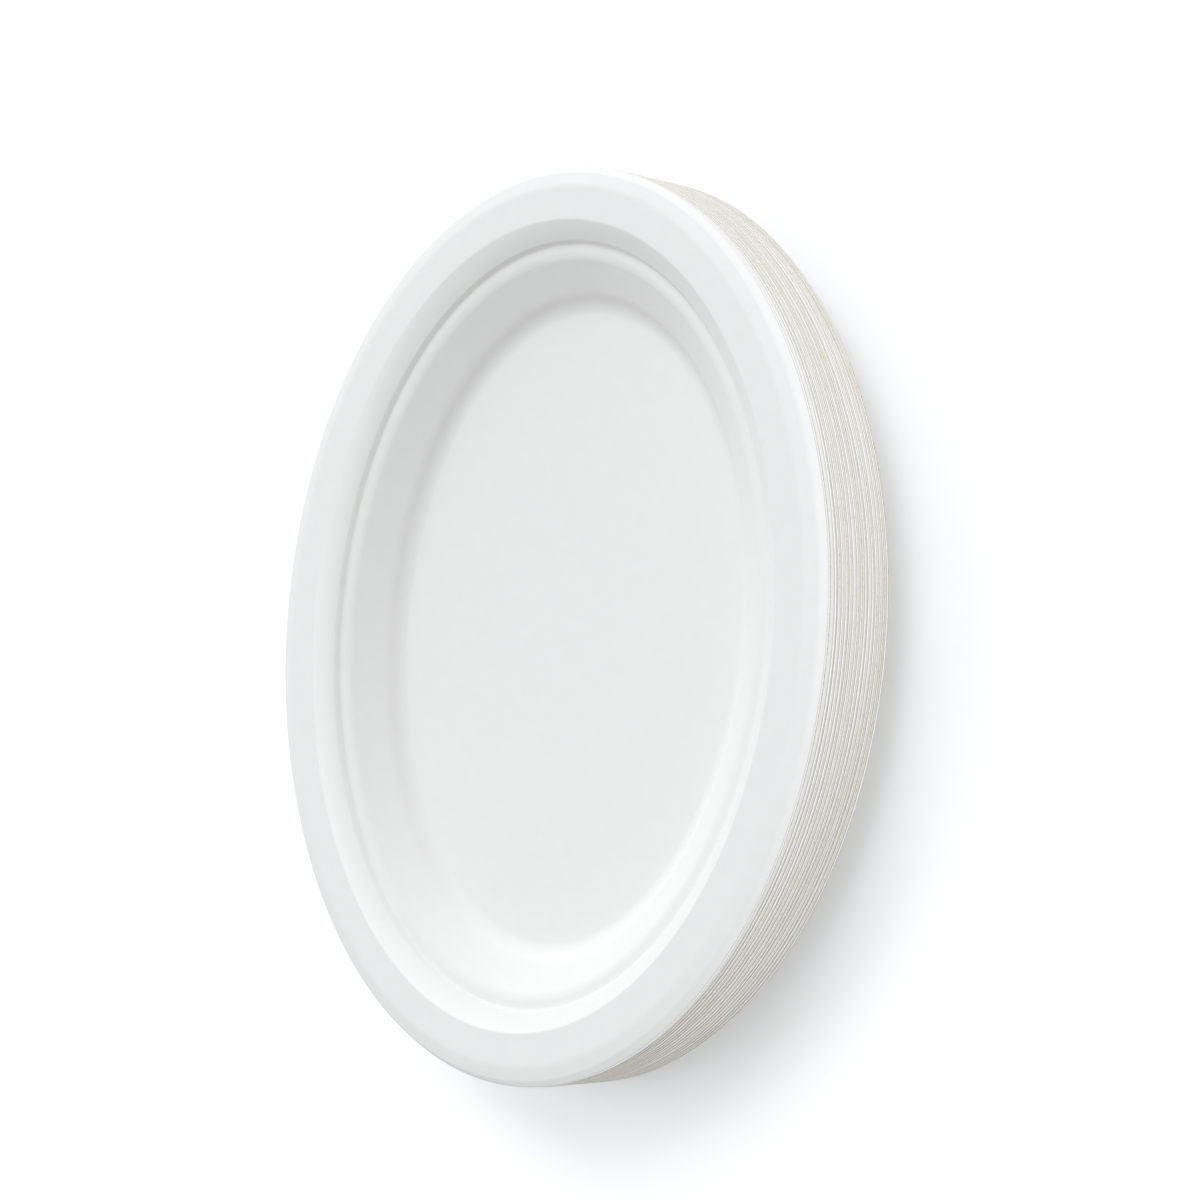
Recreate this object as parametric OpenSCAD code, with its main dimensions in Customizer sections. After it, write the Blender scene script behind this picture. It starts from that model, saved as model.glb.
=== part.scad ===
// Stack of oval moulded plates, lying flat and nested face up.
// Z = 0 is the surface the bottom plate rests on, and Y runs the long way of the oval.
// Every plate is one moulding: a thin shell of even thickness that follows one section.

/* [Stack] */
// Number of plates in the stack
plate_count = 16; // [2:1:30]
// Clearance between two nested plates, square to their steepest faces
nest_clearance = 0.08; // [0.05:0.01:0.3]
// Extra lift of the top plate, which no plate presses down
top_lift = 0.65; // [0:0.05:1.5]

/* [Plate outline] */
// Length of a plate over its lip
plate_l = 260; // [230:1:320]
// Width of a plate over its lip
plate_w = 208; // [190:1:240]
// Thickness of the moulded wall, square to its surface
wall_t = 0.6; // [0.45:0.05:0.9]
// Steepest slope in the moulding, in degrees: the flange and the riser have it
draft_slope = 65; // [55:1:68]

/* [Rim] */
// Width of the trimmed lip, which lies flat
lip_w = 0.45; // [0.35:0.05:1.5]
// Height of the steep flange that turns down to the lip
flange_h = 2.4; // [1.8:0.1:4]
// Width of the sloping shoulder between flange and flat rim
shoulder_w = 4.3; // [3:0.1:8]
// Fall of the shoulder over its width
shoulder_drop = 1.15; // [0.5:0.05:2]
// Width of the flat rim
rim_w = 9.5; // [6:0.1:16]

/* [Step inside the rim] */
// Width of the sloping band inside the flat rim
band_w = 5.35; // [3:0.05:9]
// Fall of the band over its width
band_drop = 3.7; // [2:0.1:5]
// Height of the steep riser under the band's crisp edge
riser_h = 1.6; // [1:0.1:2.5]
// Width of the narrow ledge at the riser's foot
ledge_w = 3.6; // [2.5:0.1:6]
// Fall of the ledge over its width
ledge_drop = 0.1; // [0.05:0.05:1]

/* [Well] */
// Width of the sloping wall round the well
wall_w = 9.9; // [9:0.1:12]
// Fall of the wall over its width
wall_drop = 6.9; // [5.8:0.1:8]
// Width of the steeper part at the wall's foot
steep_w = 2.7; // [2.5:0.1:4]
// Height of that steeper part above the floor of the well
steep_h = 3.5; // [3.1:0.1:5]

/* [Fillets] */
// Radius of the hollow between lip and flange
lip_r = 0.3; // [0.1:0.05:0.35]
// Radius of the round top of the flange
shoulder_r = 1.6; // [1:0.1:2]
// Radius of the soft crease between shoulder and flat rim
crease_r = 6; // [2:0.5:10]
// Radius of the soft inner edge of the flat rim
rim_r = 1.2; // [0.5:0.1:3]
// Radius of the crisp edge between band and riser
crisp_r = 0.2; // [0.1:0.05:0.4]
// Radius of the hollow at the foot of the riser
riser_r = 0.8; // [0.3:0.1:1.2]
// Radius of the round edge between ledge and wall
ledge_r = 5; // [2:0.5:6]
// Radius of the soft bend where the wall grows steeper
bend_r = 8; // [2:0.5:8]
// Radius of the hollow between wall and floor
foot_r = 5.5; // [3:0.5:6]

/* [Hidden] */

plate_colour = "#f1f1ee";
// Largest distance between a fillet of the section and the short straights that draw it
fillet_error = 0.05;
// Facets of a full turn, for the arcs of the oval
$fn = 180;

// Vertical distance from one plate to the next: the steepest faces are the first to meet
nest_pitch = (wall_t + nest_clearance) / cos(draft_slope);

// Heights of the upper surface above the floor of the well
ledge_h = steep_h + wall_drop;
riser_foot_h = ledge_h + ledge_drop;
crisp_h = riser_foot_h + riser_h;
rim_h = crisp_h + band_drop;
flange_top_h = rim_h - shoulder_drop;
lip_h = flange_top_h - flange_h;

// Distances of the section's corners in from the outline of the plate
flange_top_in = lip_w + flange_h / tan(draft_slope);
rim_outer_in = flange_top_in + shoulder_w;
rim_inner_in = rim_outer_in + rim_w;
crisp_in = rim_inner_in + band_w;
riser_foot_in = crisp_in + riser_h / tan(draft_slope);
ledge_in = riser_foot_in + ledge_w;
bend_in = ledge_in + wall_w;
foot_in = bend_in + steep_w;
// The floor is flat from just past the foot's fillet
foot_end_in = foot_in + foot_r * tan(atan2(steep_h, steep_w) / 2) + 1;

// Corners of the upper surface, each as distance in, height and fillet radius
CORNERS = [
    [0, lip_h, 0],
    [lip_w, lip_h, lip_r],
    [flange_top_in, flange_top_h, shoulder_r],
    [rim_outer_in, rim_h, crease_r],
    [rim_inner_in, rim_h, rim_r],
    [crisp_in, crisp_h, crisp_r],
    [riser_foot_in, riser_foot_h, riser_r],
    [ledge_in, ledge_h, ledge_r],
    [bend_in, steep_h, bend_r],
    [foot_in, 0, foot_r],
];

// The oval is eight arcs that run smoothly into each other, close to an ellipse.
// They meet where the outline faces these directions, taken from the right-angled triangles
// 7-24-25 and 3-4-5, so that every centre and radius is a round number.
side_joint = [0.96, 0.28];
corner_joint = [0.6, 0.8];
// The end arcs' radius over that of the ellipse at its tips
tip_ratio = 1.03;
half_l = plate_l / 2;
half_w = plate_w / 2;
end_radius = round(10 * tip_ratio * half_w ^ 2 / half_l) / 10;
// The steps in radius, from end to corner and from corner to side, that close the quadrant
rise = half_l - end_radius;
reach = half_w - end_radius;
corner_more = 3.5 * reach - 0.5 * rise;
side_more = 5 * rise - 10 * reach;
corner_radius = end_radius + corner_more;
side_radius = corner_radius + side_more;
end_centre = [0, half_l - end_radius];
corner_centre = end_centre - corner_more * corner_joint;
side_centre = [half_w - side_radius, 0];
// The section runs on over the floor, far enough to lie under the whole edge of its middle piece
flat_in = foot_end_in + 0.3 * (end_radius - foot_end_in);

// Each arc as centre, radius, first and last direction, anticlockwise from the +X side
ARCS = [
    [side_centre, side_radius, flip_y(side_joint), side_joint],
    [corner_centre, corner_radius, side_joint, corner_joint],
    [end_centre, end_radius, corner_joint, flip_x(corner_joint)],
    [flip_x(corner_centre), corner_radius, flip_x(corner_joint), flip_x(side_joint)],
    [flip_x(side_centre), side_radius, flip_x(side_joint), -side_joint],
    [-corner_centre, corner_radius, -side_joint, -corner_joint],
    [-end_centre, end_radius, -corner_joint, flip_y(corner_joint)],
    [flip_y(corner_centre), corner_radius, flip_y(corner_joint), flip_y(side_joint)],
];

function flip_y(p) = [p.x, -p.y];
function flip_x(p) = [-p.x, p.y];
function point(c) = [c.x, c.y];
function unit(v) = v / norm(v);
function cross2(a, b) = a.x * b.y - a.y * b.x;

// Direction of the straight that leaves corner i, and the way down through the wall there
function along(corners, i) = unit(point(corners[i + 1]) - point(corners[i]));
function down(corners, i) = [along(corners, i).y, -along(corners, i).x];

// Corner i moved down by t, square to both straights that meet there
function lowered(corners, i, t) =
    i == 0 ? point(corners[0]) + t * down(corners, 0) :
    i == len(corners) - 1 ? point(corners[i]) + t * down(corners, i - 1) :
    let (a = down(corners, i - 1), b = down(corners, i))
    point(corners[i]) + t * (a + b) / (1 + a * b);

// The same corners for the lower surface, whose fillets share their centres with the upper ones
function lower_corners(corners, t) = [
    for (i = [0:len(corners) - 1])
    let (
        inner = i > 0 && i < len(corners) - 1,
        turn = inner ? sign(cross2(along(corners, i - 1), along(corners, i))) : 0
    )
    [each lowered(corners, i, t), max(0, corners[i].z + turn * t)]
];

// Points of the fillet at corner i, from the straight before it to the one after
function fillet(corners, i) =
    let (
        c = point(corners[i]),
        r = corners[i].z,
        before = along(corners, i - 1),
        after = along(corners, i),
        turn = atan2(cross2(before, after), before * after),
        steps = ceil(abs(turn) / (2 * acos(1 - fillet_error / r))),
        cut = r * tan(abs(turn) / 2),
        start = c - cut * before,
        centre = start + sign(turn) * r * [-before.y, before.x]
    )
    [for (k = [0:steps])
        let (a = turn * k / steps, s = start - centre)
        centre + [s.x * cos(a) - s.y * sin(a), s.x * sin(a) + s.y * cos(a)]];

// A whole surface of the section, from the outer edge to the corner before the last
function surface_path(corners) = [
    point(corners[0]),
    for (i = [1:len(corners) - 2])
        each (corners[i].z > fillet_error ? fillet(corners, i) : [point(corners[i])])
];

// Section of the moulding: x is the distance in from the outline, y the height of the surface
module section() {
    whole = concat(CORNERS, [[flat_in, 0, 0]]);
    lower = lower_corners(whole, wall_t);
    upper_path = concat(surface_path(whole), [[flat_in, 0]]);
    lower_path = concat(surface_path(lower), [[flat_in, -wall_t]]);
    polygon([
        each upper_path,
        for (i = [len(lower_path) - 1:-1:0]) lower_path[i]
    ]);
}

// Wedge between an arc's first and last direction, from its centre to beyond the outline
module wedge(arc) {
    far = plate_l;
    translate([0, 0, -plate_l / 2])
        linear_extrude(height = plate_l)
            polygon([arc[0], arc[0] + far * arc[2], arc[0] + far * arc[3]]);
}

// The section swept round the eight arcs of the oval
module rim_and_wall() {
    for (arc = ARCS)
        intersection() {
            translate([arc[0].x, arc[0].y, 0])
                rotate_extrude()
                    translate([arc[1], 0])
                        mirror([1, 0])
                            section();
            wedge(arc);
        }
}

// Middle of the well's flat floor, whose edge lies inside the flat part of the section
module well_floor() {
    joints = [for (arc = ARCS) arc[0] + (arc[1] - foot_end_in) * arc[2]];
    translate([0, 0, -wall_t])
        linear_extrude(height = wall_t)
            polygon(joints);
}

// One moulded plate, number i from the bottom, counted from 0
module plate(i) {
    lift = i == plate_count - 1 ? top_lift : 0;
    color(plate_colour)
        translate([0, 0, wall_t + i * nest_pitch + lift])
            union() {
                rim_and_wall();
                well_floor();
            }
}

for (i = [0:plate_count - 1])
    plate(i);
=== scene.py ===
import math
import random

import bpy
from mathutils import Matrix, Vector


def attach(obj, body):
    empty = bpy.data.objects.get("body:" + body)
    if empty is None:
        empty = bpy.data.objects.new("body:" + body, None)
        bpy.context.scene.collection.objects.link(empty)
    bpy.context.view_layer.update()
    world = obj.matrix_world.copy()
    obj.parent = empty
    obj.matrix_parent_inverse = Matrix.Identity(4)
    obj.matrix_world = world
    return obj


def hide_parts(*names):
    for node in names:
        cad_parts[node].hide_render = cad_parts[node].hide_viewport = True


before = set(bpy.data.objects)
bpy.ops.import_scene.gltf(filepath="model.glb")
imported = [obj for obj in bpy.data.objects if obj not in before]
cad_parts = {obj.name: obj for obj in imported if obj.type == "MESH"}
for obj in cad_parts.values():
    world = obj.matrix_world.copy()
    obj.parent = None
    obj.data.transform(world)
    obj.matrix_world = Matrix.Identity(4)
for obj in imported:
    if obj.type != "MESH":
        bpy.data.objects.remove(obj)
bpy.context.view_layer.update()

# The pressed plate: bagasse pulp drawn onto a screen and pressed hot between two dies.
# One even wall follows a section of ten corners round the oval, and a die trims the lip.
# It is modelled once here, and the stack is made of copies.
MM = 0.001
HALF_WIDTH = 104 * MM
HALF_LENGTH = 130 * MM
WALL = 0.6 * MM
FLOOR_INSET = 44 * MM
SIDES = 192
BEVEL_STEPS = 5
# The flange and the riser have the steepest slope at which even walls still nest
STEEPEST = math.radians(65)
FLANGE_HEIGHT = 2.4
RISER_HEIGHT = 1.6

# Stretches of the face side from the lip in to the floor of the well, in millimetres:
# width, rise, and radius of the fillet at the stretch's outer end
SECTION = [
    (0.45, 0.0, 0.0),  # flat lip
    (FLANGE_HEIGHT / math.tan(STEEPEST), FLANGE_HEIGHT, 0.3),
    (4.3, 1.15, 1.6),  # shoulder
    (9.5, 0.0, 6.0),  # flat rim
    (5.35, -3.7, 1.2),  # sloping band inside the rim
    (RISER_HEIGHT / math.tan(STEEPEST), -RISER_HEIGHT, 0.2),
    (3.6, -0.1, 0.8),  # narrow ledge
    (9.9, -6.9, 5.0),  # wall of the well
    (2.7, -3.5, 8.0),  # steeper foot of the wall
]
FOOT_RADIUS = 5.5


def turn_between(before, after):
    """Angle in radians that the section turns through, positive where it turns left."""
    return math.atan2(before.x * after.y - before.y * after.x, before.dot(after))


def screen_side(corners, wall):
    """The same corners for the underside, square to both straights that meet at each."""
    points = [Vector((x, z)) for x, z, _ in corners]
    directions = [(b - a).normalized() for a, b in zip(points, points[1:])]
    directions.append(Vector((1, 0)))
    lowered = []
    for i, (point, after) in enumerate(zip(points, directions)):
        before = directions[i - 1] if i else after
        a, b = Vector((before.y, -before.x)), Vector((after.y, -after.x))
        moved = point + wall * (a + b) / (1 + a.dot(b))
        turn = math.copysign(1, turn_between(before, after)) if i else 0
        lowered.append((moved.x, moved.y, max(0.0, corners[i][2] + turn * wall) if i else 0.0))
    return lowered


def bevel_width(before, corner, after):
    """Length that a fillet of the corner's radius takes off each straight beside it."""
    here = Vector(corner[:2])
    turn = turn_between(here - Vector(before[:2]), Vector(after[:2]) - here)
    return corner[2] * math.tan(abs(turn) / 2)


# Corners of both sides: distance in from the lip, height over the well's floor, fillet radius
face_side = []
inset = 0.0
height = -sum(rise for _, rise, _ in SECTION)
for width, rise, fillet in SECTION:
    face_side.append((inset * MM, height * MM, fillet * MM))
    inset += width
    height += rise
face_side.append((inset * MM, 0.0, FOOT_RADIUS * MM))
under_side = screen_side(face_side, WALL)
flat_face = (FLOOR_INSET, 0.0, 0.0)
flat_under = (FLOOR_INSET, -WALL, 0.0)
# Once round the section, from the middle of the underside out to the lip and back in
rings = [flat_under] + under_side[::-1] + face_side + [flat_face]
widths = [0.0] + [bevel_width(*rings[i - 1:i + 2]) for i in range(1, len(rings) - 1)] + [0.0]
widest = max(widths)

bpy.ops.object.select_all(action="DESELECT")
bpy.ops.mesh.primitive_circle_add(vertices=SIDES, radius=1, fill_type="NOTHING",
                                  location=(0, 0, rings[0][1]))
master = bpy.context.object
master.name = "pressed_plate"
bpy.ops.object.transform_apply(location=True)
bpy.ops.object.mode_set(mode="EDIT")
bpy.ops.mesh.select_mode(type="EDGE")
bpy.ops.transform.resize(value=(HALF_WIDTH - rings[0][0], HALF_LENGTH - rings[0][0], 1))
for last, ring in zip(rings, rings[1:]):
    bpy.ops.mesh.extrude_edges_move(TRANSFORM_OT_translate={"value": (0, 0, ring[1] - last[1])})
    bpy.ops.transform.resize(value=((HALF_WIDTH - ring[0]) / (HALF_WIDTH - last[0]),
                                    (HALF_LENGTH - ring[0]) / (HALF_LENGTH - last[0]), 1))
bpy.ops.mesh.edge_face_add()
bpy.ops.mesh.select_all(action="DESELECT")
bpy.ops.mesh.select_non_manifold()
bpy.ops.mesh.edge_face_add()
bpy.ops.mesh.select_all(action="SELECT")
bpy.ops.mesh.normals_make_consistent(inside=False)
bpy.ops.object.mode_set(mode="OBJECT")

# The surfaces of a plate: pressed face, screen side below, trimmed edge, and lip seen from below
FACE, SCREEN, EDGE, LIP_BACK = 0, 1, 2, 3
EDGE_STRIP = len(under_side)
LEVEL = 0.99
for face in master.data.polygons:
    strip = face.index // SIDES
    if strip == EDGE_STRIP:
        face.material_index = EDGE
    elif strip in (EDGE_STRIP - 1, EDGE_STRIP - 2):
        face.material_index = LIP_BACK
    elif EDGE_STRIP < strip < len(rings) - 1 or face.normal.z > LEVEL:
        face.material_index = FACE
    else:
        face.material_index = SCREEN

# How high up the trimmed edge a point lies, 0 at its lower border and 1 at its upper one
cut_height = master.data.attributes.new("cut_height", "FLOAT", "POINT")
for vertex in master.data.vertices:
    cut_height.data[vertex.index].value = 1.0 if vertex.index // SIDES > EDGE_STRIP else 0.0

# The rings of points that the lip's waves move, and those that the trimming die cut
for name, group_rings in (("lip", range(EDGE_STRIP - 1, EDGE_STRIP + 3)),
                          ("trimmed_edge", range(EDGE_STRIP, EDGE_STRIP + 2))):
    group = master.vertex_groups.new(name=name)
    group.add([v.index for v in master.data.vertices if v.index // SIDES in group_rings],
              1.0, "REPLACE")

weights = master.data.attributes.new("bevel_weight_edge", "FLOAT", "EDGE")
for edge in master.data.edges:
    first, second = (v // SIDES for v in edge.vertices)
    weights.data[edge.index].value = widths[first] / widest if first == second else 0.0
bevel = master.modifiers.new("fillets", "BEVEL")
bevel.limit_method = "WEIGHT"
bevel.offset_type = "OFFSET"
bevel.width = widest
bevel.segments = BEVEL_STEPS
bevel.use_clamp_overlap = False
bpy.ops.object.modifier_apply(modifier=bevel.name)


def linear(hex_colour):
    """An sRGB hex colour as Blender's linear red, green, blue and alpha."""
    levels = [int(hex_colour[i:i + 2], 16) / 255 for i in (1, 3, 5)]
    return [c / 12.92 if c <= 0.04045 else ((c + 0.055) / 1.055) ** 2.4 for c in levels] + [1.0]


def add_node(tree, kind, links=(), **settings):
    """Adds a node. Settings are its properties or its sockets' values, links its inputs' sources."""
    node = tree.nodes.new(kind)
    for name, value in settings.items():
        if hasattr(node, name):
            setattr(node, name, value)
        else:
            node.inputs[name.replace("_", " ")].default_value = value
    for socket, source in links:
        tree.links.new(source, node.inputs[socket])
    return node


def new_material(name):
    """An empty node material and its tree."""
    material = bpy.data.materials.new(name)
    material.use_nodes = True
    material.node_tree.nodes.clear()
    return material, material.node_tree


# Bleached bagasse pulp, pressed hot and dry on the face: dense, matt and nearly smooth.
# The eye gets a soft white, barely warm, with faint clouds of thicker pulp and a felt of short fibres.
PULP_WHITE = linear("#f2f0ec")
PULP_CLOUD = linear("#eeece8")
PULP_IOR = 1.45
CLOUD_SIZE = 5 * MM
FIBRE_SIZE = 0.7 * MM
FIBRE_DEPTH = 0.03 * MM
# Where a colour mix has its two colours and its result among its sockets
MIX_FIRST, MIX_SECOND, MIX_RESULT = 6, 7, 2
pressed_pulp, tree = new_material("hot_pressed_bagasse")
coords = add_node(tree, "ShaderNodeTexCoord").outputs["Object"]
clouds = add_node(tree, "ShaderNodeTexNoise", [("Vector", coords)],
                  Scale=1 / CLOUD_SIZE, Detail=4.0, Roughness=0.6)
tint = add_node(tree, "ShaderNodeMix", [("Factor", clouds.outputs["Fac"])], data_type="RGBA")
tint.inputs[MIX_FIRST].default_value = PULP_WHITE
tint.inputs[MIX_SECOND].default_value = PULP_CLOUD
felt = add_node(tree, "ShaderNodeTexNoise", [("Vector", coords)],
                Scale=1 / FIBRE_SIZE, Detail=3.0, Distortion=1.5)
bump = add_node(tree, "ShaderNodeBump", [("Height", felt.outputs["Fac"])],
                Strength=0.35, Distance=FIBRE_DEPTH)
shader = add_node(tree, "ShaderNodeBsdfPrincipled",
                  [("Base Color", tint.outputs[MIX_RESULT]), ("Normal", bump.outputs["Normal"])],
                  Roughness=0.78, IOR=PULP_IOR)
add_node(tree, "ShaderNodeOutputMaterial", [("Surface", shader.outputs["BSDF"])])

# The underside of the same pulp lay on the forming screen and kept the weave of its wires.
# The eye gets a duller white with a fine grid of dimples.
# The real wires are about 0.5 mm apart; here they are 1 mm apart, so that a render shows them.
SCREEN_WHITE = linear("#efede8")
SCREEN_CLOUD = linear("#e9e6df")
WIRE_PITCH = 1.0 * MM
WIRE_DEPTH = 0.08 * MM
# Bands of a wave texture of scale 1 are this many metres apart
WAVE_UNIT = math.pi / 10
screen_pulp, tree = new_material("screen_formed_bagasse")
coords = add_node(tree, "ShaderNodeTexCoord").outputs["Object"]
clouds = add_node(tree, "ShaderNodeTexNoise", [("Vector", coords)],
                  Scale=1 / CLOUD_SIZE, Detail=4.0, Roughness=0.6)
tint = add_node(tree, "ShaderNodeMix", [("Factor", clouds.outputs["Fac"])], data_type="RGBA")
tint.inputs[MIX_FIRST].default_value = SCREEN_WHITE
tint.inputs[MIX_SECOND].default_value = SCREEN_CLOUD
across = add_node(tree, "ShaderNodeTexWave", [("Vector", coords)], wave_type="BANDS",
                  bands_direction="X", Scale=WAVE_UNIT / WIRE_PITCH, Distortion=0.4)
along = add_node(tree, "ShaderNodeTexWave", [("Vector", coords)], wave_type="BANDS",
                 bands_direction="Y", Scale=WAVE_UNIT / WIRE_PITCH, Distortion=0.4)
weave = add_node(tree, "ShaderNodeMath", [(0, across.outputs["Fac"]), (1, along.outputs["Fac"])],
                 operation="MULTIPLY")
bump = add_node(tree, "ShaderNodeBump", [("Height", weave.outputs["Value"])],
                Strength=0.6, Distance=WIRE_DEPTH)
shader = add_node(tree, "ShaderNodeBsdfPrincipled",
                  [("Base Color", tint.outputs[MIX_RESULT]), ("Normal", bump.outputs["Normal"])],
                  Roughness=0.88, IOR=PULP_IOR)
add_node(tree, "ShaderNodeOutputMaterial", [("Surface", shader.outputs["BSDF"])])

# The back of the lip and flange, cream to tan: painted shade, a warmer and darker colour put under
# the lips so that its bounced light tints the shaded gaps between them.
# It is seen only from below, but it lends the gaps between the lips some of their warmth.
BACK_GAP_SHADE_CREAM = linear("#e6dcc6")
BACK_GAP_SHADE_TAN = linear("#d5c5a2")
PATCH_SIZE = 12 * MM
lip_back_gap_shade, tree = new_material("lip_back_painted_gap_shade")
coords = add_node(tree, "ShaderNodeTexCoord").outputs["Object"]
patches = add_node(tree, "ShaderNodeTexNoise", [("Vector", coords)],
                   Scale=1 / PATCH_SIZE, Detail=2.0)
# Painted shade: cream to tan under the lips, to warm the shade in the gaps between them
tint = add_node(tree, "ShaderNodeMix", [("Factor", patches.outputs["Fac"])], data_type="RGBA")
tint.inputs[MIX_FIRST].default_value = BACK_GAP_SHADE_CREAM
tint.inputs[MIX_SECOND].default_value = BACK_GAP_SHADE_TAN
shader = add_node(tree, "ShaderNodeBsdfPrincipled", [("Base Color", tint.outputs[MIX_RESULT])],
                  Roughness=0.9, IOR=PULP_IOR)
add_node(tree, "ShaderNodeOutputMaterial", [("Surface", shader.outputs["BSDF"])])

# The lip's outer edge was cut by the trimming die. It is white, with a cream tone that drifts
# along it, and tan fibres with brown spots line its lower border, here more, there less: partly
# torn fibres, partly painted shade, the dark line of the shaded gap beneath each lip laid on the edge.
# Single fibres are finer than a pixel; they are drawn as spots 0.7 mm long.
EDGE_WHITE = linear("#f9f8f5")
EDGE_CREAM = linear("#eeeae0")
TORN_AND_SHADE_TAN = linear("#b3a683")
TORN_AND_SHADE_BROWN = linear("#6f6547")
SPOT_SIZE = 0.7 * MM
DRIFT_LENGTH = 83.3333 * MM
DRIFT_HEIGHT = 1.1111 * MM
# Each pair is where in the noise, or over the edge's height, a colour starts and is full
CREAM_RANGE = (0.4, 0.7)
BROWN_RANGE = (0.52, 0.62)
TORN_AND_SHADE_RANGE = (0.05, -0.1)
# How far the drift carries the darker lower border (torn fibres and painted shade) down again, as a
# share of the edge's height
TORN_AND_SHADE_WANDER = -0.6
trimmed_pulp, tree = new_material("die_cut_bagasse_edge")
coords = add_node(tree, "ShaderNodeTexCoord").outputs["Object"]
stretched = add_node(tree, "ShaderNodeMapping", [("Vector", coords)],
                     Scale=(1 / DRIFT_LENGTH, 1 / DRIFT_LENGTH, 1 / DRIFT_HEIGHT))
drift = add_node(tree, "ShaderNodeTexNoise", [("Vector", stretched.outputs["Vector"])],
                 Scale=1.0, Detail=1.0)
cream = add_node(tree, "ShaderNodeMapRange", [("Value", drift.outputs["Fac"])],
                 From_Min=CREAM_RANGE[0], From_Max=CREAM_RANGE[1])
cut = add_node(tree, "ShaderNodeMix", [("Factor", cream.outputs["Result"])], data_type="RGBA")
cut.inputs[MIX_FIRST].default_value = EDGE_WHITE
cut.inputs[MIX_SECOND].default_value = EDGE_CREAM
grain = add_node(tree, "ShaderNodeTexNoise", [("Vector", coords)], Scale=1 / SPOT_SIZE, Detail=2.0)
spots = add_node(tree, "ShaderNodeMapRange", [("Value", grain.outputs["Fac"])],
                 From_Min=BROWN_RANGE[0], From_Max=BROWN_RANGE[1])
# Painted shade in part: this tan and brown also stand for the shade in the gap beneath each lip
torn_and_shade = add_node(tree, "ShaderNodeMix", [("Factor", spots.outputs["Result"])], data_type="RGBA")
torn_and_shade.inputs[MIX_FIRST].default_value = TORN_AND_SHADE_TAN
torn_and_shade.inputs[MIX_SECOND].default_value = TORN_AND_SHADE_BROWN
up_edge = add_node(tree, "ShaderNodeAttribute", attribute_name="cut_height")
wandering = add_node(tree, "ShaderNodeMath", [(0, drift.outputs["Fac"]), (2, up_edge.outputs["Fac"])],
                     operation="MULTIPLY_ADD")
wandering.inputs[1].default_value = TORN_AND_SHADE_WANDER
border = add_node(tree, "ShaderNodeMapRange", [("Value", wandering.outputs["Value"])],
                  From_Min=TORN_AND_SHADE_RANGE[0], From_Max=TORN_AND_SHADE_RANGE[1])
edge_tint = add_node(tree, "ShaderNodeMix",
                     [("Factor", border.outputs["Result"]), (MIX_FIRST, cut.outputs[MIX_RESULT]),
                      (MIX_SECOND, torn_and_shade.outputs[MIX_RESULT])], data_type="RGBA")
shader = add_node(tree, "ShaderNodeBsdfPrincipled",
                  [("Base Color", edge_tint.outputs[MIX_RESULT])], Roughness=0.9, IOR=PULP_IOR)
add_node(tree, "ShaderNodeOutputMaterial", [("Surface", shader.outputs["BSDF"])])

# In the order of the surfaces' numbers
for material in (pressed_pulp, screen_pulp, trimmed_pulp, lip_back_gap_shade):
    master.data.materials.append(material)

# The stack: each plate sits in the one below until their steepest faces nearly meet.
# The top plate has no weight on it and stands a little proud.
# Each lip wanders slightly and was trimmed a little more or less than its neighbours.
PLATES = 16
NEST_GAP = 0.08 * MM
PITCH = (WALL + NEST_GAP) / math.cos(STEEPEST)
TOP_LIFT = 0.65 * MM
LIP_WAVE_LENGTH = 70 * MM
LIP_WAVE_HEIGHT = 0.5 * MM
# The waves are drawn from a cloud of noise, from another place within this many metres each time
WAVE_PLACES = 3
# What the die takes off more than it should, as a share of the plate's width and length
LEAST_TRIM = 0.0003
TRIM_SPREAD = 0.0012
FACET_LIMIT = math.radians(40)
SEED = 7
dice = random.Random(SEED)

waves = bpy.data.textures.new("lip_waves", "CLOUDS")
waves.noise_scale = LIP_WAVE_LENGTH
waves.noise_depth = 1
for number in range(1, PLATES + 1):
    bpy.ops.object.select_all(action="DESELECT")
    master.select_set(True)
    bpy.context.view_layer.objects.active = master
    bpy.ops.object.duplicate()
    plate = bpy.context.object
    plate.name = f"pulp_plate_{number:02d}"
    plate.data.name = plate.name
    bpy.ops.object.mode_set(mode="EDIT")
    bpy.ops.mesh.select_all(action="DESELECT")
    bpy.ops.object.vertex_group_set_active(group="trimmed_edge")
    bpy.ops.object.vertex_group_select()
    trim = 1 - LEAST_TRIM - TRIM_SPREAD * dice.random()
    bpy.ops.transform.resize(value=(trim, trim, 1), center_override=(0, 0, 0))
    bpy.ops.object.mode_set(mode="OBJECT")
    marker = bpy.data.objects.new("lip_wave_place", None)
    bpy.context.scene.collection.objects.link(marker)
    marker.location = [dice.uniform(-WAVE_PLACES, WAVE_PLACES) for _ in range(3)]
    bpy.context.view_layer.update()
    wander = plate.modifiers.new("lip_wander", "DISPLACE")
    wander.texture = waves
    wander.texture_coords = "OBJECT"
    wander.texture_coords_object = marker
    wander.direction = "Z"
    wander.vertex_group = "lip"
    wander.strength = LIP_WAVE_HEIGHT
    wander.mid_level = 0.5
    bpy.ops.object.modifier_apply(modifier=wander.name)
    bpy.data.objects.remove(marker)
    height = WALL + (number - 1) * PITCH + (TOP_LIFT if number == PLATES else 0)
    bpy.ops.transform.translate(value=(0, 0, height))
    bpy.ops.object.transform_apply(location=True, rotation=False, scale=False)
    bpy.ops.object.shade_smooth_by_angle(angle=FACET_LIMIT)
    even = plate.modifiers.new("even_shading", "WEIGHTED_NORMAL")
    even.keep_sharp = True
    bpy.ops.object.modifier_apply(modifier=even.name)
    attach(plate, "root")
    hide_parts(f"plate_{number:02d}")
bpy.data.objects.remove(master)

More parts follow.
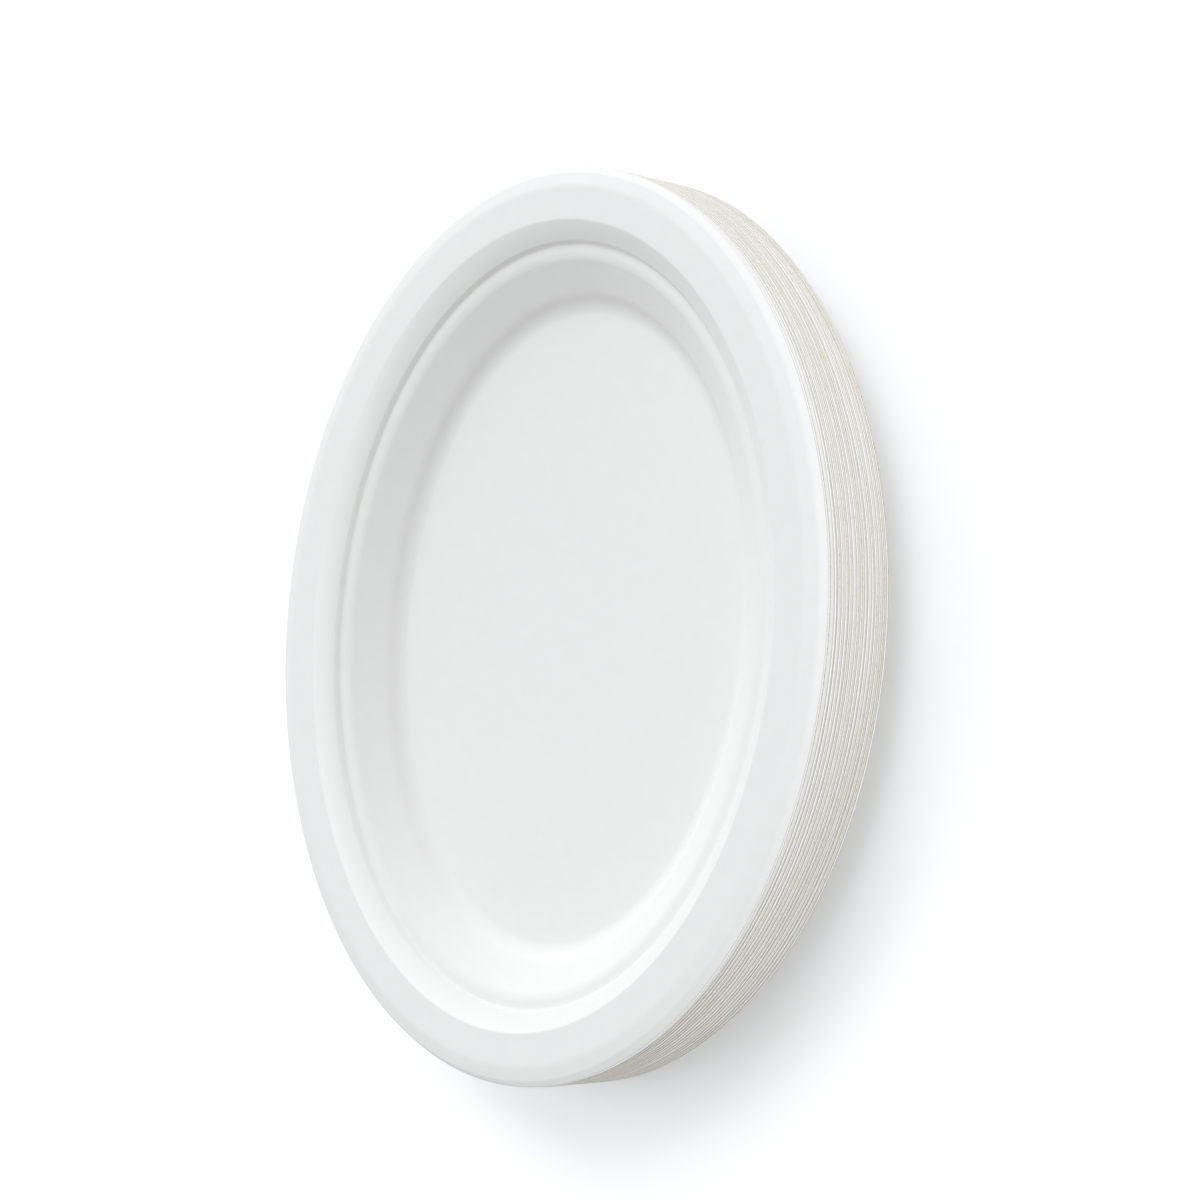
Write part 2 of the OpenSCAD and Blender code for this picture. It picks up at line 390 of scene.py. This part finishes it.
# The studio: a white lacquered table in a white room, with four wide lamps and three low
# reflectors level with the stack, which brighten its side but not the inside of the well.
# The camera and mirrored rays see table and room whiter than they light the plates.
TABLE_SIZE = 30
TABLE = linear("#fafafa")
TABLE_SEEN_GLOW = 0.25


def seen_rays(tree):
    """One for the rays that show the background, and nought for those that light the plates."""
    rays = add_node(tree, "ShaderNodeLightPath")
    mirrored = add_node(tree, "ShaderNodeMath", [(0, rays.outputs["Is Glossy Ray"]),
                                                 (1, rays.outputs["Is Transmission Ray"])],
                        operation="MAXIMUM")
    seen = add_node(tree, "ShaderNodeMath", [(0, rays.outputs["Is Camera Ray"]),
                                             (1, mirrored.outputs["Value"])],
                    operation="MAXIMUM")
    return seen.outputs["Value"]


bpy.ops.object.select_all(action="DESELECT")
bpy.ops.mesh.primitive_plane_add(size=TABLE_SIZE)
table = bpy.context.object
table.name = "table_top"
table_paint, tree = new_material("white_lacquered_table")
lit = add_node(tree, "ShaderNodeBsdfDiffuse", Color=TABLE)
glow = add_node(tree, "ShaderNodeEmission", Color=(1, 1, 1, 1), Strength=TABLE_SEEN_GLOW)
pale = add_node(tree, "ShaderNodeAddShader", [(0, lit.outputs["BSDF"]),
                                              (1, glow.outputs["Emission"])])
either = add_node(tree, "ShaderNodeMixShader", [(0, seen_rays(tree)), (1, lit.outputs["BSDF"]),
                                                (2, pale.outputs["Shader"])])
add_node(tree, "ShaderNodeOutputMaterial", [("Surface", either.outputs["Shader"])])
table.data.materials.append(table_paint)

DAYLIGHT = (0.973, 1.0, 1.044)
ROOM_LEVEL = 0.44
room = bpy.data.worlds.new("white_room")
bpy.context.scene.world = room
room.use_nodes = True
tree = room.node_tree
tree.nodes.clear()
dim = add_node(tree, "ShaderNodeBackground", Color=(*DAYLIGHT, 1), Strength=ROOM_LEVEL)
white = add_node(tree, "ShaderNodeBackground", Color=(1, 1, 1, 1), Strength=1.0)
either = add_node(tree, "ShaderNodeMixShader", [(0, seen_rays(tree)),
                                                (1, dim.outputs["Background"]),
                                                (2, white.outputs["Background"])])
add_node(tree, "ShaderNodeOutputWorld", [("Surface", either.outputs["Shader"])])

# The strongest light comes from beyond the far end and from the left, as in the photo.
# Name, direction round from the far end, height and width in degrees, and strength
LAMPS = [
    ("far_high", 0, 48, 40, 0.94),
    ("left_high", 270, 48, 40, 0.58),
    ("far_left", 315, 18, 30, 0.62),
    ("far_right_high", 50, 50, 40, 0.30),
    ("far_right_reflector", 55, 1, 2, 0.46),
    ("right_reflector", 90, 1, 2, 0.15),
    ("near_right_reflector", 125, 1, 2, 0.58),
]
for name, azimuth, elevation, width, level in LAMPS:
    lamp_data = bpy.data.lights.new(name, "SUN")
    lamp_data.energy = level
    lamp_data.color = DAYLIGHT
    lamp_data.angle = math.radians(width)
    lamp = bpy.data.objects.new(name, lamp_data)
    lamp.rotation_euler = (math.radians(90 - elevation), 0, math.radians(180 - azimuth))
    bpy.context.scene.collection.objects.link(lamp)

# The camera looks down on the lying stack, with the face and the side turned as in the photo
CAMERA_PLACE = (0.5921, 0.0287, 0.6615)
CAMERA_TURN = [math.radians(a) for a in (4.270, 42.211, 8.273)]
LENS = 91.5
FILM_WIDTH = 36
camera_data = bpy.data.cameras.new("camera")
camera_data.sensor_width = FILM_WIDTH
camera_data.lens = LENS
camera = bpy.data.objects.new("camera", camera_data)
camera.location = CAMERA_PLACE
camera.rotation_euler = CAMERA_TURN
bpy.context.scene.collection.objects.link(camera)
bpy.context.scene.camera = camera
bpy.context.scene.view_settings.view_transform = "Standard"
